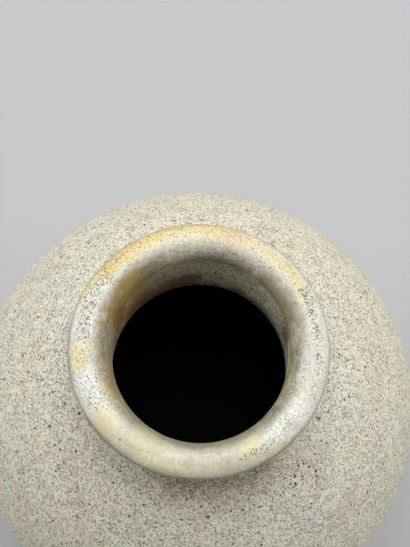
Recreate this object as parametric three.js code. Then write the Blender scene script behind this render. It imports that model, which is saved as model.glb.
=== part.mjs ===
// Stoneware vase with a round body, a short neck and a thick rolled lip.
// It is built as it is made: thrown sections of clay, the slip that joins them, and the glaze.
// Millimetres, +Z up. The origin is on the axis, in the plane that the foot stands on.

import * as THREE from 'three';

// Foot ring
const footRadius = 33;
const footWidth = 6;
const footHeight = 7;
const footFlare = 1;
const footBevel = 0.9;

// Body, measured on the bare clay
const bellyRadius = 69.4;
const bellyHeight = 62;
const shoulderRise = 59.1;
const bellyWall = 5;
const bowlWall = 6;
const shoulderWall = 7.1;
const floorThickness = 6;

// Tongue and groove where the two halves of the body meet
const jointLand = 1.3;
const tongueDepth = 1.4;

// Neck and lip
const throatRadius = 24;
const neckWall = 4;
const neckSpread = 2;
const neckStraight = 7.3;
const lipOverhang = 3.5;
const lipInset = 0.3;

// Slip and glaze
const slipThickness = 0.5;
const glazeThickness = 0.6;
const linerThickness = 0.5;
const bareBand = 5;

// Facets round the axis and along each curve
const roundFacets = 40;
const bareFacets = 2;
const bowlFacets = 5;
const shoulderFacets = 6;
const hollowFacets = 5;
const filletFacets = 2;
const lipUnderFacets = 3;
const lipTopFacets = 4;

// Heights and radii that follow from the sizes above
const bodyBottom = footHeight + slipThickness;
const floorTop = bodyBottom + floorThickness;
const baseRadius = footRadius + footFlare;
const bowlDepth = bellyHeight - bodyBottom;
const bowlDrop = bowlDepth / Math.sqrt(1 - (baseRadius / bellyRadius) ** 2);
const hollowRadius = bellyRadius - bellyWall;
const hollowDepth = bellyHeight - floorTop;
const hollowDrop = bowlDrop - bowlWall;
const hollowRise = shoulderRise - shoulderWall;
const neckRadius = throatRadius + neckWall;
const neckFoot = neckRadius + neckSpread;
const neckFootRise = shoulderRise * Math.sqrt(1 - (neckFoot / bellyRadius) ** 2);
const seatRise = neckFootRise - slipThickness;
const seatRadius = bellyRadius * Math.sqrt(1 - (seatRise / shoulderRise) ** 2);
const seatHeight = bellyHeight + seatRise;
const seatSlope = Math.atan((neckFoot / neckFootRise) * (shoulderRise / bellyRadius) ** 2);
const filletSize = neckSpread / (1 - Math.sin(seatSlope));
const throatRise = hollowRise * Math.sqrt(1 - (throatRadius / hollowRadius) ** 2);
const throatHeight = bellyHeight + throatRise;
const neckBottom = bellyHeight + neckFootRise;
const filletHeight = neckBottom + filletSize * Math.cos(seatSlope);
const neckTop = filletHeight + neckStraight;
const lipBottom = neckTop + slipThickness;
const lipTube = (lipInset + neckWall + lipOverhang) / 2;
const lipRadius = throatRadius - lipInset + lipTube;
const lipStart = -Math.acos((neckRadius - lipRadius) / lipTube);
const lipHeight = lipBottom - lipTube * Math.sin(lipStart);
const halfSlip = slipThickness / 2;

// Every outline is a list of [radius, height] points.

// Part of an ellipse about the belly's centre, between two heights measured from the belly
function bellyCurve(radius, rise, fromRise, toRise, facets) {
  const from = Math.asin(fromRise / rise);
  const to = Math.asin(toRise / rise);
  const points = [];
  for (let i = 0; i <= facets; i += 1) {
    const angle = from + ((to - from) * i) / facets;
    points.push([radius * Math.cos(angle), bellyHeight + rise * Math.sin(angle)]);
  }
  return points;
}

// Part of a circle, between two angles measured from the outward direction
function arc(radius, height, size, from, to, facets) {
  const points = [];
  for (let i = 0; i <= facets; i += 1) {
    const angle = from + ((to - from) * i) / facets;
    points.push([radius + size * Math.cos(angle), height + size * Math.sin(angle)]);
  }
  return points;
}

// The same outline moved sideways by a coat's thickness, to the left of its direction
function coatOver(points, thickness) {
  const normals = [];
  for (let i = 0; i + 1 < points.length; i += 1) {
    const along = points[i + 1][0] - points[i][0];
    const up = points[i + 1][1] - points[i][1];
    const length = Math.hypot(along, up);
    normals.push([-up / length, along / length]);
  }
  return points.map(([radius, height], i) => {
    const before = normals[Math.max(i - 1, 0)];
    const after = normals[Math.min(i, normals.length - 1)];
    const share = 1 + before[0] * after[0] + before[1] * after[1];
    const across = (thickness * (before[0] + after[0])) / share;
    const upward = (thickness * (before[1] + after[1])) / share;
    return [radius + across, height + upward];
  });
}

// Outside of the bowl below and above the lower edge of the glaze, and outside of the shoulder
const bareOutside = bellyCurve(bellyRadius, bowlDrop, -bowlDepth, bareBand - bowlDepth, bareFacets);
const bowlOutside = bellyCurve(bellyRadius, bowlDrop, bareBand - bowlDepth, -halfSlip, bowlFacets);
const shoulderOutside = bellyCurve(bellyRadius, shoulderRise, halfSlip, seatRise, shoulderFacets);

// Inside of the hollow, from the floor's edge to the belly and from the belly to the throat
const bowlInside = bellyCurve(hollowRadius, hollowDrop, -hollowDepth, -halfSlip, hollowFacets);
const shoulderInside = bellyCurve(hollowRadius, hollowRise, halfSlip, throatRise, hollowFacets);

// The neck's fillet, and the lip's roll from the neck, over the top, to the inside of the mouth
const filletStart = -Math.PI / 2 - seatSlope;
const filletRadius = neckRadius + filletSize;
const neckCurve = arc(filletRadius, filletHeight, filletSize, filletStart, -Math.PI, filletFacets);
const lipCurve = [
  ...arc(lipRadius, lipHeight, lipTube, lipStart, 0, lipUnderFacets),
  ...arc(lipRadius, lipHeight, lipTube, 0, Math.PI / 2, lipTopFacets).slice(1),
  ...arc(lipRadius, lipHeight, lipTube, Math.PI / 2, Math.PI, lipTopFacets).slice(1),
];
const throatWall = [[throatRadius, lipBottom], [throatRadius, throatHeight]];

// Face of the belly joint at one side of the slip, from the outside of the wall to the inside
function bellyJoint(outside, inside, height) {
  const outerLand = bellyRadius - jointLand;
  const innerLand = hollowRadius + jointLand;
  const middle = (outerLand + innerLand) / 2;
  return [
    outside,
    [outerLand, height],
    [middle, height - tongueDepth],
    [innerLand, height],
    inside,
  ];
}
const grooveFace = bellyJoint(bowlOutside.at(-1), bowlInside.at(-1), bellyHeight - halfSlip);
const tongueFace = bellyJoint(shoulderOutside[0], shoulderInside[0], bellyHeight + halfSlip);

// Solids of revolution. An outline runs with its material on the left.
function revolve(name, outline, material) {
  const points = outline.map(([radius, height]) => new THREE.Vector2(radius, height));
  const geometry = new THREE.LatheGeometry(points, roundFacets);
  geometry.rotateX(Math.PI / 2);
  const mesh = new THREE.Mesh(geometry, material);
  mesh.name = name;
  return mesh;
}

function ring(name, outline, material) {
  return revolve(name, [...outline, outline[0]], material);
}

// A flat ring of slip on a face at one height, with its outer edge between two radii
function slipRing(name, innerRadius, bottomRadius, topRadius, bottom) {
  const top = bottom + slipThickness;
  const outline = [
    [innerRadius, bottom],
    [bottomRadius, bottom],
    [topRadius, top],
    [innerRadius, top],
  ];
  return ring(name, outline, slip());
}

function clay(color) {
  return new THREE.MeshStandardMaterial({ color, roughness: 0.9, metalness: 0 });
}

function slip() {
  return new THREE.MeshStandardMaterial({ color: 0x8c7a64, roughness: 0.95, metalness: 0 });
}

function glaze(color, roughness) {
  return new THREE.MeshStandardMaterial({ color, roughness, metalness: 0 });
}

function footRing() {
  const innerRadius = footRadius - footWidth;
  const outline = [
    [innerRadius + footBevel, 0],
    [footRadius - footBevel, 0],
    [footRadius, footBevel],
    [baseRadius, footHeight],
    [innerRadius - footFlare, footHeight],
    [innerRadius, footBevel],
  ];
  return ring('foot_ring', outline, clay(0x9a7f63));
}

function footSlip() {
  const innerRadius = footRadius - footWidth - footFlare;
  return slipRing('foot_slip', innerRadius, baseRadius, baseRadius, footHeight);
}

function lowerBody() {
  const outline = [
    [0, bodyBottom],
    ...bareOutside,
    ...bowlOutside.slice(1),
    ...grooveFace.slice(1),
    ...bowlInside.slice(0, -1).reverse(),
    [0, floorTop],
  ];
  return revolve('lower_body', outline, clay(0xa0866a));
}

function bellySlip() {
  const outline = [...grooveFace].reverse().concat(tongueFace);
  return ring('belly_slip', outline, slip());
}

function upperBody() {
  const outline = [
    ...shoulderOutside,
    [throatRadius, seatHeight],
    ...[...shoulderInside].reverse(),
    ...tongueFace.slice(1, -1).reverse(),
  ];
  return ring('upper_body', outline, clay(0xa48b6f));
}

function neckSlip() {
  return slipRing('neck_slip', throatRadius, seatRadius, neckFoot, seatHeight);
}

function neckCollar() {
  const outline = [
    [throatRadius, neckBottom],
    ...neckCurve,
    [neckRadius, neckTop],
    [throatRadius, neckTop],
  ];
  return ring('neck_collar', outline, clay(0x9c8267));
}

function rimSlip() {
  return slipRing('rim_slip', throatRadius, neckRadius, neckRadius, neckTop);
}

function rimRoll() {
  const outline = [[throatRadius, lipBottom], ...lipCurve];
  return ring('rim_roll', outline, clay(0xa88f74));
}

function outerGlaze() {
  const claySide = [
    ...bowlOutside,
    ...shoulderOutside,
    ...neckCurve,
    ...lipCurve,
    ...throatWall,
  ];
  const glazeSide = coatOver(claySide, -glazeThickness);
  const outline = glazeSide.concat(claySide.reverse());
  return ring('outer_glaze', outline, glaze(0xcfc9b4, 0.7));
}

function innerGlaze() {
  const claySide = [[0, floorTop], ...bowlInside, ...shoulderInside];
  const glazeSide = coatOver(claySide, linerThickness);
  const throatEdge = [throatRadius - glazeThickness, throatHeight];
  const outline = [...claySide, throatEdge, ...glazeSide.reverse()];
  return revolve('inner_glaze', outline, glaze(0x1f1b17, 0.6));
}

const vase = new THREE.Group();
vase.add(footRing(), footSlip(), lowerBody(), bellySlip(), upperBody(), neckSlip());
vase.add(neckCollar(), rimSlip(), rimRoll(), outerGlaze(), innerGlaze());

export default vase;
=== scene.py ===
import math

import bmesh
import bpy
from mathutils import Matrix, Vector, noise


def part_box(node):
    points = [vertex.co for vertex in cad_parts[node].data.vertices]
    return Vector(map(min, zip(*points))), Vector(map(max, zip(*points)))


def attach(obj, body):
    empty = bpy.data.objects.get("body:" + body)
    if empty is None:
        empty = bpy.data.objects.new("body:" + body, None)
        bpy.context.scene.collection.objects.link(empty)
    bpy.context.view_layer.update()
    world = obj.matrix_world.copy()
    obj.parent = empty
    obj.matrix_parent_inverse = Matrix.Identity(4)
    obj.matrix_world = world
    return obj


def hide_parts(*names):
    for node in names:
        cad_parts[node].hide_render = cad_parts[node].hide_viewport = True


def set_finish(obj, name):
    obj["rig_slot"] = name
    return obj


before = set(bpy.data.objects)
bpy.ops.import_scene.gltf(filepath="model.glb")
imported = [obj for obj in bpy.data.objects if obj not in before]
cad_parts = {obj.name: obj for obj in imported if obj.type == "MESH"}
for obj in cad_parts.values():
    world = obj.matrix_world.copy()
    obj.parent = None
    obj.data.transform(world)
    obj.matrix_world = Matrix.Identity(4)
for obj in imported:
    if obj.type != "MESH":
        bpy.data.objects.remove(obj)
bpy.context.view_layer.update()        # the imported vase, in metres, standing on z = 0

mm = 0.001
print("vase: frame loaded")


# Sizes read back from the CAD nodes

def nodeSpan(node):
    low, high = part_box(node)
    return low.z, high.z, high.x


clay = {
    "throatRadius": 24 * mm,   # inside of the neck, in bare clay
    "lipInset": 0.3 * mm,      # how far the lip stands into the mouth
    "bowlWall": 6 * mm,
    "bareBand": 5 * mm,        # clay left bare above the foot ring
    "jointLand": 1.3 * mm,     # flat parts of the belly joint
    "tongueDepth": 1.4 * mm,
    "glaze": 0.6 * mm,
}

footTop, baseRadius = nodeSpan("foot_ring")[1:]
bodyBottom, grooveTop, bellyRadius = nodeSpan("lower_body")
slip = bodyBottom - footTop
bellyHeight = grooveTop + slip / 2
neckBottom, neckTop, neckFoot = nodeSpan("neck_collar")
lipBottom, lipTop, lipOuter = nodeSpan("rim_roll")
neckRadius = nodeSpan("rim_slip")[2]
floorTop, throatHeight, hollowRadius = nodeSpan("inner_glaze")
seatHeight = neckBottom - slip
glazeEdge = nodeSpan("outer_glaze")[0]

lipTube = (lipOuter - clay["throatRadius"] + clay["lipInset"]) / 2
lipRadius = lipOuter - lipTube
lipHeight = lipTop - lipTube


def riseOf(height, radius, outerRadius):
    # Half height of the ellipse about the belly's centre that passes through this point
    return (height - bellyHeight) / math.sqrt(1 - (radius / outerRadius) ** 2)


shoulderRise = riseOf(neckBottom, neckFoot, bellyRadius)
bowlDrop = -riseOf(bodyBottom, baseRadius, bellyRadius)
hollowRise = riseOf(throatHeight, clay["throatRadius"], hollowRadius)
hollowDrop = bowlDrop - clay["bowlWall"]


# Outlines are lists of (radius, height)

def bellyCurve(radius, rise, fromHeight, toHeight, steps):
    start = math.asin((fromHeight - bellyHeight) / rise)
    end = math.asin((toHeight - bellyHeight) / rise)
    angles = [start + (end - start) * i / steps for i in range(steps + 1)]
    return [(radius * math.cos(a), bellyHeight + rise * math.sin(a)) for a in angles]


def arc(centre, size, start, end, steps):
    # From one angle to another, in degrees
    angles = [math.radians(start + (end - start) * i / steps) for i in range(steps + 1)]
    return [(centre[0] + size * math.cos(a), centre[1] + size * math.sin(a)) for a in angles]


def line(start, end, steps):
    return [(start[0] + (end[0] - start[0]) * i / steps, start[1] + (end[1] - start[1]) * i / steps)
            for i in range(steps + 1)]


def coatOver(points, thickness):
    # Moves an outline sideways, to the left of its direction; thickness may be a list
    moved = []
    for i, (radius, height) in enumerate(points):
        before, after = points[max(i - 1, 0)], points[min(i + 1, len(points) - 1)]
        along = Vector((after[0] - before[0], after[1] - before[1])).normalized()
        depth = thickness[i] if isinstance(thickness, list) else thickness
        moved.append((radius - along.y * depth, height + along.x * depth))
    return moved


# A hand-thrown pot is never quite round: every piece gets the same slight changes of shape
hand = {
    "oval": 0.004, "ovalAngle": 25,           # squeezes, as shares of the radius, and degrees
    "threeSided": 0.0022, "threeSidedAngle": 70,
    "lump": 0.16 * mm, "lumpSize": 34 * mm,
    "rimDip": 0.22 * mm, "rimDipAngle": 215,  # one side of the lip is this much lower
    "rimSwell": 0.5 * mm, "rimSwellAngle": 115,  # and one side stands out this much further
    "throatShift": Vector((0.3, -0.5, 0)) * mm,    # the neck's inside is off the axis
    "mouthShift": Vector((0.36, -0.2, 0)) * mm,    # and so is the mouth above it
    "mouthIn": 0.33 * mm, "mouthOval": 0.64 * mm,  # the mouth is narrower, most of all along X
    "shiftFade": 14 * mm,      # below the throat, its shift fades out over this height
    "mouthStart": 1 * mm,      # the mouth's own changes are full this far above the lip's underside
}


def ramp(value, start, end):
    # 0 at the start, 1 at the end, smooth between
    share = max(0, min(1, (value - start) / (end - start)))
    return share * share * (3 - 2 * share)


def handShape(point):
    angle = math.atan2(point.y, point.x)
    radius = math.hypot(point.x, point.y)
    outward = Vector((math.cos(angle), math.sin(angle), 0))

    def lobes(count, degrees):
        # Waves round the axis, from -1 to 1, with one crest in this direction
        return math.cos(count * (angle - math.radians(degrees)))

    oval = hand["oval"] * (1 - lobes(2, hand["ovalAngle"])) / 2
    three = hand["threeSided"] * (1 - lobes(3, hand["threeSidedAngle"])) / 2
    bulge = max(-1, min(1, noise.noise(point / hand["lumpSize"])))
    lump = hand["lump"] * (1 - bulge) / 2 / bellyRadius
    moved = point - outward * radius * (oval + three + lump)
    share = max(0, min(1, (point.z - bellyHeight) / (lipTop - bellyHeight)))
    moved.z -= hand["rimDip"] * share ** 2 * (1 + lobes(1, hand["rimDipAngle"])) / 2

    # The neck's inside and the mouth move most, and what lies outside them stays
    inside = ramp(radius, lipOuter, clay["throatRadius"])
    inside *= ramp(point.z, throatHeight - hand["shiftFade"], throatHeight)
    upper = ramp(point.z, neckBottom, lipBottom + hand["mouthStart"])
    moved += hand["throatShift"].lerp(hand["mouthShift"], upper) * inside
    narrow = hand["mouthIn"] + hand["mouthOval"] * math.cos(2 * angle)
    moved -= outward * narrow * inside * upper
    fuller = hand["rimSwell"] * (1 + lobes(1, hand["rimSwellAngle"])) / 2
    moved += outward * fuller * (1 - inside) * ramp(radius, neckRadius, lipOuter) * upper
    return moved


# How the outlines are spun round the axis
spinning = {
    "steps": 192,
    "claySteps": 144,          # for clay that the glaze hides, and for the small rings
    "glazeSteps": 288,
    "weld": 0.002 * mm,        # points closer than this become one
    "sharpAngle": 38,          # degrees past which an edge stays sharp
}


def spinPiece(name, outline, slotName, node, closed=True, steps=spinning["steps"], shape=None):
    # An outline that isn't closed starts and ends on the axis
    bm = bmesh.new()
    ends = [bm.verts.new((radius, 0, height)) for radius, height in outline]
    sides = [bm.edges.new(pair) for pair in zip(ends, ends[1:])]
    if closed:
        sides.append(bm.edges.new((ends[-1], ends[0])))
    bmesh.ops.spin(bm, geom=ends + sides, cent=(0, 0, 0), axis=(0, 0, 1), angle=math.tau,
                   steps=steps, use_merge=True, use_duplicate=False)
    bmesh.ops.remove_doubles(bm, verts=bm.verts, dist=spinning["weld"])
    if shape:
        for vert in bm.verts:
            vert.co = shape(vert.co)
    for vert in bm.verts:
        vert.co = handShape(vert.co)
    bmesh.ops.recalc_face_normals(bm, faces=bm.faces)
    for face in bm.faces:
        face.smooth = True
    for edge in bm.edges:
        if edge.is_manifold and edge.calc_face_angle() > math.radians(spinning["sharpAngle"]):
            edge.smooth = False
    mesh = bpy.data.meshes.new(name)
    bm.to_mesh(mesh)
    bm.free()
    piece = bpy.data.objects.new(name, mesh)
    bpy.context.scene.collection.objects.link(piece)
    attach(piece, "root")
    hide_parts(node)
    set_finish(piece, slotName)
    return piece


# Shader maths: an expression on wires adds its Math nodes

class Wire:
    def __init__(self, finish, socket):
        self.finish = finish
        self.socket = socket

    def math(self, operation, *others):
        values = dict(enumerate((self, *others)))
        return self.finish.add("ShaderNodeMath", {"operation": operation}, values)

    def __add__(self, other):
        return self.math("ADD", other)

    def __sub__(self, other):
        return self.math("SUBTRACT", other)

    def __mul__(self, other):
        return self.math("MULTIPLY", other)

    def __truediv__(self, other):
        return self.math("DIVIDE", other)

    def __rsub__(self, other):
        return self.finish.add("ShaderNodeMath", {"operation": "SUBTRACT"}, {0: other, 1: self})

    __radd__ = __add__
    __rmul__ = __mul__


class Finish:
    def __init__(self, name, world=None):
        self.material = world or bpy.data.materials.new(name)
        self.material.use_nodes = True
        self.nodes = self.material.node_tree.nodes
        self.links = self.material.node_tree.links
        self.shader = self.nodes["Background" if world else "Principled BSDF"]
        self.place = self.add("ShaderNodeTexCoord", {}, {}, "Object")

    def plug(self, socket, value):
        # A wire is linked, and a number or a colour is set
        if isinstance(value, Wire):
            self.links.new(value.socket, socket)
        else:
            socket.default_value = value

    def add(self, kind, settings, values, output=0):
        # Any node: its settings first, then the values or links of its sockets
        node = self.nodes.new(kind)
        for name, value in settings.items():
            setattr(node, name, value)
        for name, value in values.items():
            self.plug(node.inputs[name], value)
        return Wire(self, node.outputs[output])

    def axes(self):
        # X, Y and Z, and the distance from the vase's axis
        x, y, z = (self.add("ShaderNodeSeparateXYZ", {}, {"Vector": self.place}, axis) for axis in "XYZ")
        return x, y, z, (x * x + y * y).math("SQRT")

    def step(self, value, low, high):
        # 0 below low, 1 above high, smooth between; low may be the larger
        if low > high:
            return 1 - self.step(value, high, low)
        return self.add("ShaderNodeMapRange", {"interpolation_type": "SMOOTHSTEP"},
                        {"Value": value, "From Min": low, "From Max": high}, "Result")

    def grain(self, size, detail=2, roughness=0.5, where=None, seed=0):
        # Noise about 0.5 whose blotches are about this size
        return self.add("ShaderNodeTexNoise", {"noise_dimensions": "4D"},
                        {"Vector": where or self.place, "W": seed, "Scale": 1 / size,
                         "Detail": detail, "Roughness": roughness}, "Fac")

    def mix(self, factor, first, second):
        # Colours: the Mix node's sockets 0, 6 and 7, and its output 2
        return self.add("ShaderNodeMix", {"data_type": "RGBA"}, {0: factor, 6: first, 7: second}, 2)

    def feed(self, name, value):
        self.plug(self.shader.inputs[name], value)

    def relief(self, strength, depth, height):
        # Fine bumps, this deep
        bump = self.add("ShaderNodeBump", {}, {"Strength": strength, "Distance": depth, "Height": height})
        self.feed("Normal", bump)


def paint(red, green, blue):
    # A colour as seen on screen, 0 to 255, made linear
    def linear(level):
        share = level / 255
        return share / 12.92 if share <= 0.04045 else ((share + 0.055) / 1.055) ** 2.4
    return (linear(red), linear(green), linear(blue), 1)


speckShape = {
    "smallest": 0.4,           # radius, as a share of the largest
    "soft": 0.35,              # width of a speck's edge, in the same share
    "shift": (7.3, 3.1, 1),    # cells by which each seed moves the pattern along X, Y and Z
}


def specks(finish, cell, share, largest, seed):
    # Round specks: this share of the cells holds one, each of its own size, up to this radius.
    # The share is a number or a wire
    shift = [seed * cell * cells for cells in speckShape["shift"]]
    place = finish.add("ShaderNodeVectorMath", {"operation": "ADD"}, {0: finish.place, 1: shift}, "Vector")
    cells = {"Vector": place, "Scale": 1 / cell, "Randomness": 1}
    distance = finish.add("ShaderNodeTexVoronoi", {"feature": "F1"}, cells, "Distance")
    colour = finish.add("ShaderNodeTexVoronoi", {"feature": "F1"}, cells, "Color")
    chance = finish.add("ShaderNodeSeparateColor", {}, {"Color": colour}, 0)
    smallest = speckShape["smallest"]
    size = (chance - (1 - share)) * (1 - smallest) / share + smallest
    held = chance.math("GREATER_THAN", 1 - share)
    return finish.step(distance * (cell / largest) - size, 0, -speckShape["soft"]) * held


# Pale speckled glaze over the body, the neck and the lip, with its colours as seen on screen
glazeLook = {
    "cream": paint(230, 227, 206),
    "beige": paint(229, 218, 200),
    "sage": paint(220, 222, 206),
    "haze": paint(218, 221, 217),
    "straw": paint(234, 223, 186),
    "mist": paint(238, 240, 234),
    # Painted shade under the lip
    "underLipShade": paint(150, 132, 98),
    "lipBase": paint(230, 228, 210),
    # White glaze on the lip, partly painted sheen
    "lipWhiteAndSheen": paint(243, 243, 236),
    "lipGrey": paint(216, 217, 207),
    "lipCream": paint(216, 210, 183),
    "lipStraw": paint(246, 238, 196),
    # Painted shade, warm tan, on the lip's near outer edge
    "shadeTan": paint(176, 162, 128),
    # Painted shade on the lip's near inner slope and by its left edge, and a few small dull patches
    "dullShade": paint(136, 133, 112),
    "neckSide": paint(174, 161, 124),
    "neckFarLit": paint(246, 243, 220),
    # Painted light on the far wall inside the neck
    "neckGrey": paint(204, 205, 198),
    # Painted shade at the top of the neck's inside
    "neckTop": paint(128, 122, 97),
    # Painted shade deep in the neck, near its lower edge
    "neckDeepShade": paint(82, 78, 62),
    "neckEdge": paint(138, 145, 142),
    "light": paint(246, 243, 230),
    # Pits and pores in the glaze, and the painted shade line round the lip's outer edge
    "pit": paint(112, 104, 84),
    "speck": paint(72, 68, 58),
    "speckBrown": paint(102, 76, 46),
    "pinhole": paint(40, 35, 28),
    "iron": paint(236, 195, 98),
    "ironPale": paint(242, 223, 148),
    "gold": paint(150, 120, 64),
    "goldDark": paint(156, 124, 36),
    "rust": paint(128, 82, 6),
    "rustDark": paint(124, 68, 0),
    "umber": paint(72, 62, 28),
    "olive": paint(132, 118, 80),
    "roughness": 0.74,
    "lipRoughness": 0.34,
    "roughnessGrain": 0.04,
    "gloss": 0.35,
    "bump": 0.7, "bumpDepth": 0.12 * mm,
}

# Noise that breaks up the glaze's colours: size of its blotches, detail, seed
glazeNoise = {
    "wander": (5 * mm, 2, 0),
    "fray": (0.9 * mm, 2, 1),
    "grit": (0.5 * mm, 1, 2),
    "streaks": (0.55 * mm, 2, 8),
    "mottle": (1.7 * mm, 2, 12),
    "cloud": (4.2 * mm, 2, 13),
}

# Where one colour gives way to another, and how far the noise moves those edges
glazeEdges = {
    "lipStart": -0.5 * mm, "lipFull": 2.4 * mm,      # above the lip's underside
    "lipWander": 0.4 * mm,
    "mouthStart": -0.3 * mm, "mouthFull": 4.1 * mm,  # inwards from the middle of the lip's roll
    "mouthInset": 0.15, "mouthWander": 0.25,         # mm
    "rollWander": 6, "rollFray": 7,                  # degrees on the lip's roll
    "sideWander": 0.9 * mm, "sideFray": 0.7 * mm,    # round the vase
    "neckWander": 1.1, "neckFray": 0.8,              # mm, up and down the neck
    "streakScale": (0.25, 0.25, 1),                  # drawn out round the neck
}

# Where the lip's glaze reaches further into the mouth: direction, half width and softness in
# degrees; how much further in mm
mouthReach = [
    (78, 26, 30, 0.35),
    (0, 18, 14, 0.1),
    (189, 35, 12, 0.3),
]

# Patches on the body: size of the noise, where on it they begin and where they are full,
# strength, colour
bodyPatches = [
    (13 * mm, 0.46, 0.62, 0.9, "beige"),
    (9 * mm, 0.5, 0.66, 0.6, "sage"),
    (6 * mm, 0.54, 0.7, 0.6, "haze"),
    (7 * mm, 0.6, 0.72, 0.4, "straw"),
]

# Wider changes on the body. A side is a direction, half width and softness, in degrees
bodyTones = {
    "warmSide": (58, 30, 45), "warm": 0.3,
    "lowStart": 42 * mm, "lowFull": 20 * mm, "low": 0.15,     # heights over the belly
    "besideStart": 46 * mm, "besideFull": 37 * mm, "beside": 0.35,   # radii
    # Painted shade on the shoulder under the lip, strongest on its near side
    "shadeStart": 41 * mm, "shadeFull": 31 * mm,                       # radii
    "shadeHeight": 1 * mm,      # up to this height over the middle of the lip's roll
    "underLipShade": 0.2, "shadeSide": (281, 14, 24), "shadeMore": 0.62,
}

# Inside the neck, with sides as above and heights in mm above its lower edge
neckTones = {
    # Painted light on the far wall
    "litSide": (76, 26, 28),
    "greySide": (46, 34, 30), "grey": 0.75,
    # Painted shade at the top of the neck's inside
    "topShadeStart": 17, "topShadeFull": 20, "top": 0.95,
    "topShadeSide": (62, 44, 26), "topShadeLess": 0.65,
    # Painted shade deep in the neck, near its lower edge
    "lowStart": 7, "lowFull": 0.5, "lowWander": 1.5, "low": 0.85,
    "streakDark": 0.42, "streakPale": 0.3,
}

# Painted shade: a thin darker line round the lip's outer edge, where the roll meets the shoulder, in
# degrees on the roll
lipShadeLine = {
    "lift": 14,                # higher by this on the far side, and lower by it on the near side
    "wander": 2,
    "faint": (42, 28), "faintStrength": 0.14,
    "dark": (34, 25), "darkStrength": 0.37,
    "darkNear": 0.12,          # stronger by this on the near side, and weaker by it on the far side
    "end": (-24, -4),
}

# How softly marks end. Round the vase: the share of the half width that is full, the share that
# is soft, and degrees more. Across them: how far before the start and after it, past the end and
# before it, in degrees on the roll or in mm inside the neck
markFade = {
    "lip": (0.5, 0.6, 3.5, 10, 9, 9, 9),
    "lipOutside": (0.5, 0.6, 3.5, 34, 9, 9, 9),
    "neck": (0.75, 0.4, 2, 2, 2, 3, 2),
    "specks": (0.8, 0.3, 1, 6, 5, 6, 5),
}

# Specks: size of their cells, share of the cells that hold one, largest radius, seed
speckKinds = {
    "small": (0.85 * mm, 0.75, 0.33 * mm, 1),
    "dots": (1.5 * mm, 0.6, 0.44 * mm, 2),
    "pinholes": (2.7 * mm, 0.5, 0.52 * mm, 3),
    "lipDots": (0.46 * mm, 0.9, 0.25 * mm, 4),
    "crammed": (0.42 * mm, 0.85, 0.26 * mm, 5),
}

# Where the specks are many or few
speckPlaces = {
    "crowdSize": 10 * mm, "crowdStart": 0.36, "crowdFull": 0.62,   # patches on the body
    "least": 0.45,             # strength of the small ones outside those patches
    "lip": 0.13, "lipNear": 0.1,       # on the whole lip, and how many fewer on its near side
    "clusterFull": 0.7, "clusterUneven": 0.6,
    "crammedStart": 0.85, "crammedFull": 1.3,      # so dense that a second kind is added
    "brownSide": (112, 36, 14), "brown": 1.4,      # where on the lip they are browner
    "strength": 0.9,
}

# How high each pattern stands in the bump, in shares of its depth. Pores and specks go down
glazeRelief = {
    "grit": 0.18, "mottle": 0.25, "cloud": 0.3,
    "pores": 0.4, "small": 0.5, "dots": 0.6, "pinholes": 1,
    "lipLess": 0.5,            # how much flatter the grit and the holes are on the lip
}

# Stains on the lip, and painted shade and sheen on it: where round the rim and half width, both in
# degrees; from and to across the roll, also in degrees (0 outside, 90 crest, 180 inside); colour; strength
lipStains = [
    # White glaze at the lip's sides, partly painted sheen
    (210, 12, 40, 108, "lipWhiteAndSheen", 1.0),
    (165, 15, 42, 106, "lipWhiteAndSheen", 0.8),
    (323, 13, 40, 106, "lipWhiteAndSheen", 1.0),
    (352, 9, 80, 130, "lipGrey", 0.95),
    (264, 38, -60, 112, "lipCream", 0.9),
    # Painted shade: the tan rows on the lip's near outer edge
    (268, 58, -90, 18, "shadeTan", 0.85),
    # Painted shade: the dull rows on the lip's left outer edge and its near inner slope
    (189, 12, -20, 38, "dullShade", 0.45),
    (266, 46, 100, 128, "dullShade", 0.3),
    (264, 44, 126, 200, "dullShade", 0.85),
    (282, 14, 72, 130, "dullShade", 0.25),
    (230, 14, -20, 30, "shadeTan", 1.0),
    (311, 13, -10, 30, "shadeTan", 0.9),
    (54, 18, 50, 98, "ironPale", 0.62),
    (50, 12, 64, 88, "iron", 0.28),
    (32, 5, 80, 97, "ironPale", 0.8),
    (32, 4, 82, 95, "iron", 0.55),
    (78, 10, 52, 102, "iron", 0.65),
    (116, 36, 18, 98, "ironPale", 0.95),
    (108, 36, 24, 68, "iron", 0.5),
    (138, 12, 28, 93, "iron", 0.52),
    (156, 7, 20, 62, "ironPale", 0.85),
    (185, 5, 92, 108, "ironPale", 0.6),
    (192, 4, 34, 94, "ironPale", 0.8),
    (206, 18, 122, 180, "gold", 0.45),
    (213, 9, 136, 168, "gold", 0.8),
    (212, 12, 122, 136, "ironPale", 0.35),
    (225, 4, 44, 108, "ironPale", 0.55),
    (228, 2, 42, 56, "iron", 0.4),
    (246, 7, 64, 146, "dullShade", 0.2),
    (246, 7, 64, 146, "ironPale", 0.3),
    (257, 12, 36, 68, "lipStraw", 1.0),
    (276, 10, 30, 58, "lipStraw", 0.8),
    (252, 6, 42, 60, "ironPale", 0.4),
    (298, 3, 72, 122, "ironPale", 0.75),
    (306, 7, 36, 56, "ironPale", 0.7),
    (341, 4, 52, 76, "ironPale", 0.2),
    (339, 7, 130, 166, "lipStraw", 0.2),
]

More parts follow.
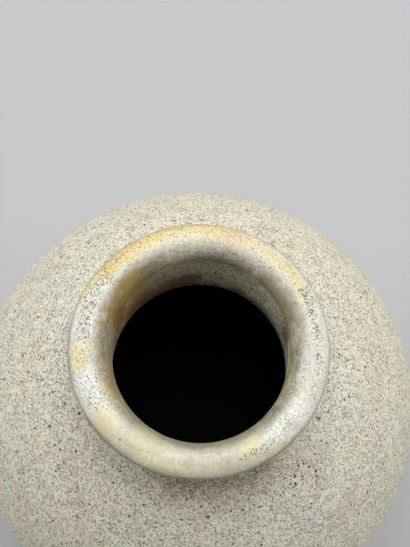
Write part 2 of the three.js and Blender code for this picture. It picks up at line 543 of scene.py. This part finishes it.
# Stains inside the neck: where round it and half width, from and to in mm above its lower edge
neckStains = [
    (36, 18, 17, 25, "olive", 0.9),
    (78, 18, 17, 23, "olive", 0.45),
    (5, 6, 6, 20, "olive", 0.5),
    (16, 5, 6, 18, "umber", 1.0),
    (152, 21, -3, 24, "goldDark", 0.9),
    (164, 7, 6, 22, "rust", 1.0),
    (114, 12, 6, 18, "goldDark", 0.35),
    (358, 9, 11, 19, "neckFarLit", 0.35),
    (134, 20, -6, 7, "rustDark", 1.0),
    (105, 10, 1, 9, "rustDark", 1.0),
    (184, 8, 6, 20, "goldDark", 0.4),
    (198, 22, 8, 18, "neckTop", 0.6),
    (189, 19, -8, 6, "neckEdge", 0.9),
]

# Clusters of specks on the lip, in the same degrees as its stains, and how dense they are
lipSpecks = [
    (14, 9, 67, 88, 2.2),
    (26, 8, 63, 88, 1.9),
    (3, 8, 60, 96, 0.3),
    (346, 8, 58, 80, 0.4),
    (158, 13, 50, 98, 1.3),
    (172, 9, 56, 96, 1.1),
    (137, 12, 20, 60, 0.3),
    (186, 7, 56, 112, 0.35),
    (210, 10, 46, 84, 0.35),
    (212, 8, 84, 118, 0.2),
    (250, 5, 62, 74, 0.4),
    (281, 9, 71, 78, 0.25),
    (124, 24, 36, 84, 0.2),
    (76, 20, 44, 90, 0.1),
    (303, 9, 67, 74, 3.0),
    (325, 12, 56, 84, 0.2),
]

# One pinhole stands alone on the lip
loneHole = {"angle": 236, "roll": 62, "size": 0.3 * mm}


class Glaze(Finish):
    # Adds wires for where on the vase a point lies, and for the noise that breaks up the colours
    def __init__(self):
        super().__init__("Glaze")
        edges = glazeEdges
        x, y, z, radius = self.axes()
        self.x, self.y, self.z, self.radius = x, y, z, radius
        wander = self.blotches("wander")
        fray = self.blotches("fray")
        self.wander, self.fray = wander, fray
        self.grit = self.blotches("grit")
        self.mottle = self.blotches("mottle")
        self.cloud = self.blotches("cloud")
        drawnOut = self.add("ShaderNodeVectorMath", {"operation": "MULTIPLY"},
                            {0: self.place, 1: edges["streakScale"]}, "Vector")
        self.streaks = self.blotches("streaks", drawnOut)

        # Degrees on the lip's roll: 0 outside, 90 on the crest, 180 inside
        self.roll = (z - lipHeight).math("ARCTAN2", radius - lipRadius) * (180 / math.pi)
        self.frayedRoll = self.roll + wander * edges["rollWander"] + fray * edges["rollFray"]
        self.onLip = self.step(z + wander * edges["lipWander"], lipBottom + edges["lipStart"],
                               lipBottom + edges["lipFull"])
        self.offLip = 1 - self.onLip

        # From the lip down into the neck
        further = sum(self.around(*side) * reach for *side, reach in mouthReach)
        slope = lipRadius - radius - (wander * edges["mouthWander"] + further + edges["mouthInset"]) * mm
        self.inMouth = self.step(slope, edges["mouthStart"], edges["mouthFull"])
        self.aboveThroat = (z - throatHeight) / mm
        frayedX = x + wander * edges["sideWander"] + fray * edges["sideFray"]
        frayedY = y + self.cloud * edges["sideWander"] - fray * edges["sideFray"]
        self.frayed = (frayedX, frayedY, (frayedX * frayedX + frayedY * frayedY).math("SQRT"))

    def blotches(self, name, where=None):
        # Contrasty noise from -1 to 1
        size, detail, seed = glazeNoise[name]
        return self.step(self.grain(size, detail, 0.6, where, seed), 0.34, 0.66) * 2 - 1

    def around(self, degrees, half, soft, place=None):
        # 1 within half a width of this direction round the axis
        angle = math.radians(degrees)
        across, along, reach = place or (self.x, self.y, self.radius)
        toward = (across * math.cos(angle) + along * math.sin(angle)) / reach
        return self.step(toward, math.cos(math.radians(half + soft)), math.cos(math.radians(half)))

    def mark(self, kind, level, degrees, half, low, high):
        # 1 round this direction and from low to high on this level, with frayed ends
        full, soft, more, before, start, past, end = markFade[kind]
        band = self.step(level, low - before, low + start) * self.step(level, high + past, high - end)
        return self.around(degrees, half * full, half * soft + more, self.frayed) * band


def bodyColour(f):
    # Soft patches, warmer on one side and low down, cooler beside the lip, and painted shade under the
    # lip, strongest on its near side
    look, tones = glazeLook, bodyTones
    colour = look["cream"]
    for seed, (size, start, full, strength, name) in enumerate(bodyPatches, 4):
        patch = f.step(f.grain(size, 3, seed=seed), start, full)
        colour = f.mix(patch * strength, colour, look[name])
    colour = f.mix(f.around(*tones["warmSide"]) * tones["warm"], colour, look["straw"])
    low = f.step(f.z, bellyHeight + tones["lowStart"], bellyHeight + tones["lowFull"])
    colour = f.mix(low * tones["low"], colour, look["straw"])
    beside = f.step(f.x * f.x / (f.radius * f.radius), 0.5, 0.95)     # left and right
    beside = beside * f.step(f.radius, tones["besideStart"], tones["besideFull"])
    colour = f.mix(beside * tones["beside"], colour, look["mist"])
    # Painted shade under the lip, strongest on its near side
    underLipShade = f.step(f.radius, tones["shadeStart"], tones["shadeFull"])
    underLipShade = underLipShade * f.step(f.z, lipHeight + tones["shadeHeight"], lipBottom)
    strength = tones["underLipShade"] + f.around(*tones["shadeSide"]) * tones["shadeMore"]
    return f.mix(underLipShade * strength, colour, look["underLipShade"])


def neckColour(f):
    # The neck's inside is browner and darker, most of all low down, where the darkening is painted shade;
    # painted light lightens its far wall and painted shade darkens its top
    look, tones = glazeLook, neckTones
    # Painted light: the far wall is lighter
    colour = f.mix(f.around(*tones["litSide"]), look["neckSide"], look["neckFarLit"])
    grey = f.step(f.cloud + f.wander * 0.6, 0.1, 0.9) * f.around(*tones["greySide"])
    colour = f.mix(grey * tones["grey"], colour, look["neckGrey"])
    # Painted shade at the top of the neck's inside, weaker on one side
    top = f.step(f.aboveThroat + f.wander, tones["topShadeStart"], tones["topShadeFull"])
    top = top * (tones["top"] - f.around(*tones["topShadeSide"]) * tones["topShadeLess"])
    colour = f.mix(top, colour, look["neckTop"])
    # Painted shade deep in the neck, near its lower edge
    low = f.step(f.aboveThroat + f.wander * tones["lowWander"], tones["lowStart"], tones["lowFull"])
    colour = f.mix(low * tones["low"], colour, look["neckDeepShade"])
    colour = f.mix(f.step(f.streaks, -0.1, -0.9) * tones["streakDark"], colour, look["umber"])
    return f.mix(f.step(f.streaks, 0.1, 0.9) * tones["streakPale"], colour, look["lipCream"])


def stainsAndShade(f, colour):
    # Iron stains on the lip, with painted shade and sheen among them. Those that run down the outside fade
    # out slowly there
    look = glazeLook
    patchy = f.wander * 0.35 + f.fray * 0.45 + f.cloud * 0.25 + f.grit * 0.45
    patchy = f.step(patchy, -0.8, 0.5) * 0.72 + 0.3
    for degrees, half, low, high, name, strength in lipStains:
        kind = "lipOutside" if low < 30 else "lip"
        stain = f.mark(kind, f.frayedRoll, degrees, half, low, high) * f.onLip * patchy
        colour = f.mix(stain * strength, colour, look[name])

    # Painted shade: the thin dark line round the lip's outer edge, darker on the near side
    far = f.y / f.radius
    edge = f.roll + f.wander * lipShadeLine["wander"] - far * lipShadeLine["lift"]
    faint = f.step(edge, *lipShadeLine["faint"]) * lipShadeLine["faintStrength"]
    dark = f.step(edge, *lipShadeLine["dark"]) * (lipShadeLine["darkStrength"] - far * lipShadeLine["darkNear"])
    rimShade = (faint + dark) * f.step(edge, *lipShadeLine["end"]) * f.onLip
    colour = f.mix(rimShade, colour, look["pit"])

    # And the stains below the lip
    level = f.aboveThroat + f.wander * glazeEdges["neckWander"] + f.fray * glazeEdges["neckFray"]
    uneven = 0.78 + f.streaks * 0.13 + f.grit * 0.13
    for degrees, half, low, high, name, strength in neckStains:
        stain = f.mark("neck", level, degrees, half, low, high) * f.inMouth
        colour = f.mix(stain * uneven * strength, colour, look[name])
    return colour


def speckMasks(f, near):
    # Small specks, larger ones and pinholes. The lip has few, apart from its clusters
    places = speckPlaces
    crowd = f.step(f.grain(places["crowdSize"], 2, seed=9), places["crowdStart"], places["crowdFull"])
    small = specks(f, *speckKinds["small"]) * (places["least"] + crowd * (1 - places["least"]))
    dots = specks(f, *speckKinds["dots"])
    pinholes = specks(f, *speckKinds["pinholes"])
    cluster = places["lip"] - near * places["lipNear"]
    for degrees, half, low, high, dense in lipSpecks:
        cluster = cluster + f.mark("specks", f.frayedRoll, degrees, half, low, high) * dense
    crammed = f.step(cluster, places["crammedStart"], places["crammedFull"])
    cluster = cluster + f.mottle * cluster * places["clusterUneven"]
    cluster = f.step(cluster, 0, places["clusterFull"])
    small = small * (f.offLip + f.onLip * cluster)

    def clustered(kind, where):
        cell, share, largest, seed = speckKinds[kind]
        return specks(f, cell, where * share, largest, seed)

    lipDots = clustered("lipDots", cluster).math("MAXIMUM", clustered("crammed", crammed)) * f.onLip
    dots = (dots * f.offLip).math("MAXIMUM", lipDots)

    # The lone pinhole
    angle, crest = math.radians(loneHole["angle"]), math.radians(loneHole["roll"])
    tube = lipTube + clay["glaze"]
    reach = lipRadius + tube * math.cos(crest)
    centre = (reach * math.cos(angle), reach * math.sin(angle), lipHeight + tube * math.sin(crest))
    away = f.add("ShaderNodeVectorMath", {"operation": "DISTANCE"}, {0: f.place, 1: centre}, "Value")
    lone = f.step(away, loneHole["size"] * 1.5, loneHole["size"] * 0.7)
    return small, dots, (pinholes * f.offLip).math("MAXIMUM", lone)


def glazeFinish():
    look = glazeLook
    f = Glaze()
    lip = f.mix(f.step(f.wander * 0.6 + f.cloud * 0.5, 0, 0.8) * 0.7, look["lipBase"], look["lipGrey"])
    colour = f.mix(f.onLip * 0.9, bodyColour(f), lip)
    colour = f.mix(f.inMouth * 0.94, colour, neckColour(f))
    colour = stainsAndShade(f, colour)

    # Grain and pores, weaker on the lip, most of all on its near side, and inside the neck
    near = f.around(262, 36, 20)
    calm = 1 - f.onLip * (0.5 + near * 0.3)
    pale = calm * (1 - f.inMouth * 0.85)
    # Each layer: pattern, where on it the colour begins and is full, mask, strength, colour
    layers = [
        (f.mottle, 0, 1, pale, 0.2, "light"),
        (f.mottle, 0, -1, calm, 0.2, "pit"),
        (f.cloud, 0, -1, calm, 0.15, "pit"),
        (f.grit, 0.1, 1, pale, 0.5, "light"),
        (f.grit, 0, -1, calm, 0.38, "pit"),
    ]
    for pattern, start, full, where, strength, name in layers:
        colour = f.mix(f.step(pattern, start, full) * where * strength, colour, look[name])
    pores = f.step(f.grain(0.6 * mm, 1, seed=3), 0.46, 0.34) * calm
    colour = f.mix(pores * 0.62, colour, look["pit"])

    # Iron specks and pinholes
    small, dots, pinholes = speckMasks(f, near)
    brown = f.wander + f.around(*speckPlaces["brownSide"]) * f.onLip * speckPlaces["brown"]
    speck = f.mix(f.step(brown, -0.6, 0.6), look["speck"], look["speckBrown"])
    for mask, tint in ((small, speck), (dots, speck), (pinholes, look["pinhole"])):
        colour = f.mix(mask * speckPlaces["strength"], colour, tint)
    f.feed("Base Color", colour)

    smoother = look["roughness"] - look["lipRoughness"]
    rough = look["roughness"] - f.onLip * (1 - f.inMouth) * smoother
    f.feed("Roughness", rough + f.grit * look["roughnessGrain"])
    f.feed("Specular IOR Level", look["gloss"])

    high = glazeRelief
    holes = (pores, "pores"), (small, "small"), (dots, "dots"), (pinholes, "pinholes")
    height = f.grit * high["grit"]
    for mask, name in holes:
        height = height - mask * high[name]
    height = height * (1 - f.onLip * high["lipLess"])
    height = height + f.mottle * high["mottle"] + f.cloud * high["cloud"]
    f.relief(look["bump"], look["bumpDepth"], height)
    return f.material


def shadedLinerFinish():
    # Nearly black, as painted shade: the hollow below the neck gets almost no light
    f = Finish("ShadedLiner")
    patches = f.grain(8 * mm, 3)
    colour = f.mix(f.step(patches, 0.4, 0.6), paint(7, 6, 5), paint(12, 10, 8))
    f.feed("Base Color", colour)
    f.feed("Roughness", 0.6 + patches * 0.2)
    f.feed("Specular IOR Level", 0.12)
    f.relief(0.3, 0.2 * mm, patches)
    return f.material


clayLook = {
    "buff": paint(188, 162, 128),
    "toast": paint(164, 130, 94),
    "grog": paint(210, 190, 160),
    "iron": paint(70, 52, 38),
    "turningPitch": 0.9 * mm,
}


def clayFinish():
    f = Finish("BareClay")
    z, radius = f.axes()[2:]
    colour = f.mix(f.step(f.grain(8 * mm, 3), 0.4, 0.62), clayLook["buff"], clayLook["toast"])
    # Toasted where the glaze's edge is near
    colour = f.mix(f.step(z, bodyBottom - 1 * mm, glazeEdge) * 0.6, colour, clayLook["toast"])
    grog = f.step(specks(f, 1.6 * mm, 0.4, 0.4 * mm, 3), 0, 0.3)
    iron = f.step(specks(f, 2.2 * mm, 0.35, 0.3 * mm, 4), 0, 0.3)
    sand = f.grain(0.5 * mm, 2, seed=5)
    colour = f.mix(grog * 0.6, colour, clayLook["grog"])
    colour = f.mix(iron * 0.8, colour, clayLook["iron"])
    f.feed("Base Color", colour)
    f.feed("Roughness", 0.82 + (sand - 0.5) * 0.2)
    turning = (radius * (math.tau / clayLook["turningPitch"])).math("SINE") * 0.3
    f.relief(0.5, 0.15 * mm, sand + grog * 0.6 - iron * 0.4 + turning)
    return f.material


def slipFinish():
    f = Finish("Slip")
    colour = f.mix(f.step(f.grain(3 * mm, 3), 0.4, 0.6), paint(140, 118, 92), paint(120, 98, 76))
    sand = f.grain(0.4 * mm, 2, seed=2)
    f.feed("Base Color", colour)
    f.feed("Roughness", 0.85 + (sand - 0.5) * 0.2)
    f.relief(0.4, 0.1 * mm, sand)
    return f.material


finishes = {"outer_glaze": glazeFinish(), "inner_glaze": shadedLinerFinish(), "bare_clay": clayFinish(),
            "slip": slipFinish()}
print("vase: materials made")


# The pieces

footSize = {
    "width": 6 * mm,
    "flare": 1 * mm,           # wider by this at the top, on both sides
    "edge": 1.1 * mm,          # rounding of the two bottom edges
    "markDepth": 0.05 * mm,    # turning marks
    "markPitch": 0.8 * mm,
    "plainTop": 0.2 * mm,      # no marks this close to the slip
}


def footPiece():
    bottomOuter = baseRadius - footSize["flare"]
    bottomInner = bottomOuter - footSize["width"]
    topInner = bottomInner - footSize["flare"]
    edge = footSize["edge"]
    outline = arc((bottomInner + edge, edge), edge, 180, 270, steps=6)
    outline += arc((bottomOuter - edge, edge), edge, 270, 360, steps=6)
    outline += line((bottomOuter, edge), (baseRadius, footTop), steps=24)[1:]
    outline += [(topInner, footTop)]
    outline += line((topInner, footTop), (bottomInner, edge), steps=24)[1:-1]

    def turned(point):
        if point.z < edge or point.z > footTop - footSize["plainTop"]:
            return point
        angle = math.atan2(point.y, point.x)
        wave = math.sin(point.z / footSize["markPitch"] * math.tau + angle) - 1
        radius = math.hypot(point.x, point.y)
        scale = 1 + footSize["markDepth"] * wave / 2 / radius
        return Vector((point.x * scale, point.y * scale, point.z))

    return spinPiece("footRing", outline, "bare_clay", "foot_ring", steps=spinning["claySteps"],
                     shape=turned)


def seamRing(name, node, inner, bottomOuter, topOuter, bottom, top):
    outline = [(inner, bottom), (bottomOuter, bottom), (topOuter, top), (inner, top)]
    return spinPiece(name, outline, "slip", node, steps=spinning["claySteps"])


def bellyJoint(outside, inside, height):
    outerLand = bellyRadius - clay["jointLand"]
    innerLand = hollowRadius + clay["jointLand"]
    groove = ((outerLand + innerLand) / 2, height - clay["tongueDepth"])
    return [outside, (outerLand, height), groove, (innerLand, height), inside]


bowlRim, shoulderRim = bellyHeight - slip / 2, bellyHeight + slip / 2
glazeLine = bodyBottom + clay["bareBand"]
bowlOutside = bellyCurve(bellyRadius, bowlDrop, bodyBottom, bowlRim, steps=60)
coatedBowl = bellyCurve(bellyRadius, bowlDrop, glazeLine, bowlRim, steps=56)
shoulderOutside = bellyCurve(bellyRadius, shoulderRise, shoulderRim, seatHeight, steps=64)
bowlInside = bellyCurve(hollowRadius, hollowDrop, floorTop, bowlRim, steps=48)
shoulderInside = bellyCurve(hollowRadius, hollowRise, shoulderRim, throatHeight, steps=48)
grooveFace = bellyJoint(bowlOutside[-1], bowlInside[-1], bowlRim)
tongueFace = bellyJoint(shoulderOutside[0], shoulderInside[0], shoulderRim)
throat = clay["throatRadius"]

# The neck's fillet starts on the shoulder, in line with it
seatSlope = math.atan(neckFoot / (neckBottom - bellyHeight) * (shoulderRise / bellyRadius) ** 2)
filletSize = (neckFoot - neckRadius) / (1 - math.sin(seatSlope))
filletCentre = (neckRadius + filletSize, neckBottom + filletSize * math.cos(seatSlope))
neckCurve = arc(filletCentre, filletSize, -90 - math.degrees(seatSlope), -180, steps=12)
lipStart = -math.degrees(math.acos((neckRadius - lipRadius) / lipTube))
lipCurve = arc((lipRadius, lipHeight), lipTube, lipStart, 180, steps=48)


def bowlPiece():
    outline = [(0, bodyBottom), *bowlOutside, *grooveFace[1:], *bowlInside[-2::-1], (0, floorTop)]
    return spinPiece("bowlClay", outline, "bare_clay", "lower_body", closed=False)


def shoulderPiece():
    outline = [*shoulderOutside, (throat, seatHeight), *shoulderInside[::-1], *tongueFace[-2:0:-1]]
    return spinPiece("shoulderClay", outline, "bare_clay", "upper_body", steps=spinning["claySteps"])


def neckPiece():
    outline = [(throat, neckBottom), *neckCurve, (neckRadius, neckTop), (throat, neckTop)]
    return spinPiece("neckClay", outline, "bare_clay", "neck_collar", steps=spinning["claySteps"])


def lipPiece():
    outline = [(throat, lipBottom), *lipCurve]
    return spinPiece("lipClay", outline, "bare_clay", "rim_roll", steps=spinning["claySteps"])


coat = {
    "edgeRound": 0.9 * mm,     # how soon the glaze's lower edge reaches its full thickness
    "bead": 0.14 * mm,         # extra thickness just above that edge
    "beadUp": 1.8 * mm,        # how far above it, and how wide
    "beadWidth": 0.8 * mm,
    "waver": 1.1 * mm,         # how far the lower edge wanders up and down, slowly and quickly
    "waverFine": 0.25 * mm,
    "waverTurns": 1.7, "waverFineTurns": 7,
    "waverReach": 9 * mm,      # the glaze follows that edge up to this height above it
    "corner": 0.9 * mm,        # fillet under the lip
    "throatEdge": 0.5 * mm,    # rounding of the edge at the neck's lower end
}

# Finger marks inside the neck
throwMarks = {
    "depth": 0.1 * mm,
    "usual": 0.6, "change": 0.8,   # depth in shares of that, and how far it varies
    "patch": 6 * mm,           # size of the deeper and the fainter places
    "pitch": 1.35 * mm,
    "drift": 1.4,              # radians by which the marks stray from that pitch
    "driftSize": 3 * mm,
    "start": 0.8 * mm,         # above the neck's lower edge
    "fadeIn": 3 * mm,
    "end": 1 * mm,             # above the middle of the lip's roll
    "fadeOut": 4 * mm,
    "inside": 0.1 * mm,        # only on what lies this far inside the clay's throat
}


def underLip(wallRadius, tube):
    # Concave fillet between the neck's outside and the lip's roll
    size = coat["corner"]
    centreRadius = wallRadius + size
    drop = math.sqrt((tube + size) ** 2 - (centreRadius - lipRadius) ** 2)
    centre = (centreRadius, lipHeight - drop)
    toLip = math.degrees(math.atan2(drop, lipRadius - centreRadius))
    onLip = math.degrees(math.atan2(-drop, centreRadius - lipRadius))
    return arc(centre, size, 180, toLip, steps=8), onLip


def bowlAt(height):
    # The bowl's outer radius at this height
    return bellyRadius * math.sqrt(1 - ((height - bellyHeight) / bowlDrop) ** 2)


def thrown(point):
    # Wavers the glaze's lower edge, and presses the finger marks into the neck's inside
    radius = math.hypot(point.x, point.y)
    angle = math.atan2(point.y, point.x)
    marksTop = lipHeight + throwMarks["end"]
    if point.z < glazeLine + coat["waverReach"]:
        share = (1 - (point.z - glazeLine) / coat["waverReach"]) ** 2
        direction = Vector((math.cos(angle), math.sin(angle), 0))
        wave = coat["waver"] * noise.noise(direction * coat["waverTurns"])
        wave += coat["waverFine"] * noise.noise(direction * coat["waverFineTurns"])
        height = point.z + wave * share
        scale = (radius + bowlAt(height) - bowlAt(point.z)) / radius
        return Vector((point.x * scale, point.y * scale, height))
    if radius < throat - throwMarks["inside"] and throatHeight + throwMarks["start"] < point.z < marksTop:
        fadeIn = (point.z - throatHeight) / throwMarks["fadeIn"]
        fade = min(1, fadeIn, (marksTop - point.z) / throwMarks["fadeOut"])
        phase = point.z / throwMarks["pitch"] * math.tau + angle
        phase += throwMarks["drift"] * noise.noise(Vector((0, 0, point.z / throwMarks["driftSize"])))
        patch = noise.noise(point / throwMarks["patch"])
        depth = throwMarks["depth"] * (throwMarks["usual"] + throwMarks["change"] * patch)
        scale = 1 + depth * fade * math.sin(phase) / radius
        return Vector((point.x * scale, point.y * scale, point.z))
    return point


def coatPiece():
    glaze = clay["glaze"]
    tube = lipTube + glaze
    below = [*coatedBowl, *shoulderOutside]
    run = [0]
    for first, second in zip(below, below[1:]):
        run.append(run[-1] + math.dist(first, second))
    soft = coat["edgeRound"]
    rounding = [math.sqrt(1 - (1 - min(1, s / soft)) ** 2) for s in run]
    beads = [coat["bead"] * math.exp(-((s - coat["beadUp"]) / coat["beadWidth"]) ** 2) for s in run]
    depths = [-(glaze + bead) * share for share, bead in zip(rounding, beads)]
    outside = coatOver(below, depths)[1:]
    outside += coatOver(neckCurve, -glaze)[1:]
    corner, onLip = underLip(neckRadius + glaze, tube)
    outside += line(outside[-1], corner[0], steps=8)[1:] + corner[1:]
    outside += arc((lipRadius, lipHeight), tube, onLip, 180, steps=72)[1:]
    mouth = outside[-1]
    turn = coat["throatEdge"]
    throatEdge = arc((throat - glaze + turn, throatHeight + turn), turn, 180, 255, steps=6)
    outside += line(mouth, throatEdge[0], steps=110)[1:] + throatEdge[1:]

    # The side on the clay is simpler
    inside = [(throat, throatHeight), (throat, lipBottom), *lipCurve[::-3], *neckCurve[::-2]]
    inside += [*shoulderOutside[::-3], *coatedBowl[::-3]]
    return spinPiece("glazeCoat", outside + inside, "outer_glaze", "outer_glaze",
                     steps=spinning["glazeSteps"], shape=thrown)


linerSize = {
    "thickness": 0.5 * mm,
    "edge": 0.35 * mm,         # how far its sharp upper edge stands into the throat
}


def linerPiece():
    thickness = linerSize["thickness"]
    claySide = line((0, floorTop), bowlInside[0], steps=12) + bowlInside[1:] + shoulderInside
    glazeSide = coatOver(claySide, thickness)
    glazeSide[0] = (0, floorTop + thickness)
    outline = [*claySide, (throat - linerSize["edge"], throatHeight), *glazeSide[::-1]]
    return spinPiece("linerCoat", outline, "inner_glaze", "inner_glaze", closed=False)


footInner = baseRadius - footSize["width"] - 2 * footSize["flare"]
pieces = [
    footPiece(),
    seamRing("footSeam", "foot_slip", footInner, baseRadius, baseRadius, footTop, bodyBottom),
    bowlPiece(),
    spinPiece("bellySeam", grooveFace[::-1] + tongueFace, "slip", "belly_slip"),
    shoulderPiece(),
    seamRing("neckSeam", "neck_slip", throat, shoulderOutside[-1][0], neckFoot, seatHeight, neckBottom),
    neckPiece(),
    seamRing("lipSeam", "rim_slip", throat, neckRadius, neckRadius, neckTop, lipBottom),
    lipPiece(),
    coatPiece(),
    linerPiece(),
]
for piece in pieces:
    piece.data.materials.append(finishes[piece["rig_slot"]])
print("vase: pieces made", {piece.name: len(piece.data.polygons) for piece in pieces})


# Floor, light and camera

stage = {
    "floor": paint(190, 191, 193),
    "floorHalf": 6,            # metres
    "farFloor": (0.8, 2.2),    # metres
    "world": 0.16,
    # Round soft lamps: degrees round from +X, degrees up, size, and how brightly each lights a
    # surface that faces it, where 1 in all shows a colour as written
    "lamps": {"top": (88, 70, 1.5, 0.58), "left": (168, 32, 1.0, 0.34), "right": (12, 32, 1.0, 0.34)},
    "lampDistance": 1.25,
}


def makeLamp(name, turn, rise, size, level):
    turn, rise = math.radians(turn), math.radians(rise)
    toward = Vector((math.cos(rise) * math.cos(turn), math.cos(rise) * math.sin(turn), math.sin(rise)))
    light = bpy.data.lights.new(name, "AREA")
    light.shape = "DISK"
    light.size = size
    light.energy = level * math.pi ** 2 * (stage["lampDistance"] ** 2 + (size / 2) ** 2)
    lamp = bpy.data.objects.new(name, light)
    lamp.location = Vector((0, 0, bellyHeight)) + toward * stage["lampDistance"]
    lamp.rotation_euler = toward.to_track_quat("Z", "Y").to_euler()
    bpy.context.scene.collection.objects.link(lamp)


def seenRays(f):
    # 1 for what the camera sees, straight or by way of metal or glass, and 0 for light on the pieces
    kinds = [f.add("ShaderNodeLightPath", {}, {}, kind)
             for kind in ("Is Camera Ray", "Is Glossy Ray", "Is Transmission Ray")]
    return kinds[0].math("MAXIMUM", kinds[1]).math("MAXIMUM", kinds[2])


def makeStage():
    bm = bmesh.new()
    bmesh.ops.create_grid(bm, x_segments=4, y_segments=4, size=stage["floorHalf"])
    mesh = bpy.data.meshes.new("floor")
    bm.to_mesh(mesh)
    bm.free()
    floor = bpy.data.objects.new("floor", mesh)
    bpy.context.scene.collection.objects.link(floor)
    f = Finish("Floor")
    away = f.add("ShaderNodeVectorMath", {"operation": "LENGTH"}, {0: f.place}, "Value")
    # Beyond the lamps' reach the floor and the world look as pale as it does near them
    far = f.step(away, *stage["farFloor"]) * seenRays(f)
    black = (0, 0, 0, 1)
    f.feed("Base Color", f.mix(far, stage["floor"], black))
    f.feed("Emission Color", f.mix(far, black, stage["floor"]))
    f.feed("Emission Strength", 1)
    f.feed("Roughness", 0.9)
    mesh.materials.append(f.material)

    world = bpy.data.worlds.new("studio")
    w = Finish("studio", world)
    w.feed("Color", (1, 1, 1, 1))
    w.feed("Strength", stage["world"])
    light = Wire(w, w.shader.outputs[0])
    pale = w.add("ShaderNodeBackground", {}, {"Color": stage["floor"], "Strength": 1})
    both = w.add("ShaderNodeMixShader", {}, {0: seenRays(w), 1: light, 2: pale})
    w.plug(w.nodes["World Output"].inputs["Surface"], both)
    bpy.context.scene.world = world
    for name, lamp in stage["lamps"].items():
        makeLamp(name, *lamp)


view = {
    "focal": 760,          # pixels, for a picture 410 wide and 547 high
    "longSide": 547,
    "sensor": 36,
    "nearest": 0.01,       # metres
    "distance": 3.6288,    # from the belly's centre, in belly radii
    "tilt": 0.190,         # radians between the vase's axis and the line to the camera
    "yaw": 0.0007, "pitch": 0.1641, "roll": -0.0804,   # radians by which the camera turns from there
}


def makeCamera():
    unit = bellyRadius + clay["glaze"]
    tilt = view["tilt"]
    offset = Vector((0, -math.sin(tilt), math.cos(tilt))) * view["distance"] * unit
    forward = -offset.normalized()
    up = Vector((0, math.cos(tilt), math.sin(tilt)))
    right = forward.cross(up)
    yaw = Matrix.Rotation(view["yaw"], 3, up)
    forward, right = yaw @ forward, yaw @ right
    pitch = Matrix.Rotation(view["pitch"], 3, right)
    forward, up = pitch @ forward, pitch @ up
    roll = Matrix.Rotation(view["roll"], 3, forward)
    right, up = roll @ right, roll @ up
    camera = bpy.data.cameras.new("camera")
    camera.sensor_width = view["sensor"]
    camera.lens = view["focal"] * view["sensor"] / view["longSide"]
    camera.clip_start = view["nearest"]
    rig = bpy.data.objects.new("camera", camera)
    rig.matrix_world = Matrix.Translation(Vector((0, 0, bellyHeight)) + offset) @ Matrix(
        (right, up, -forward)).transposed().to_4x4()
    bpy.context.scene.collection.objects.link(rig)
    bpy.context.scene.camera = rig


makeStage()
makeCamera()
bpy.context.scene.view_settings.view_transform = "Standard"
print("vase: stage, light and camera made")
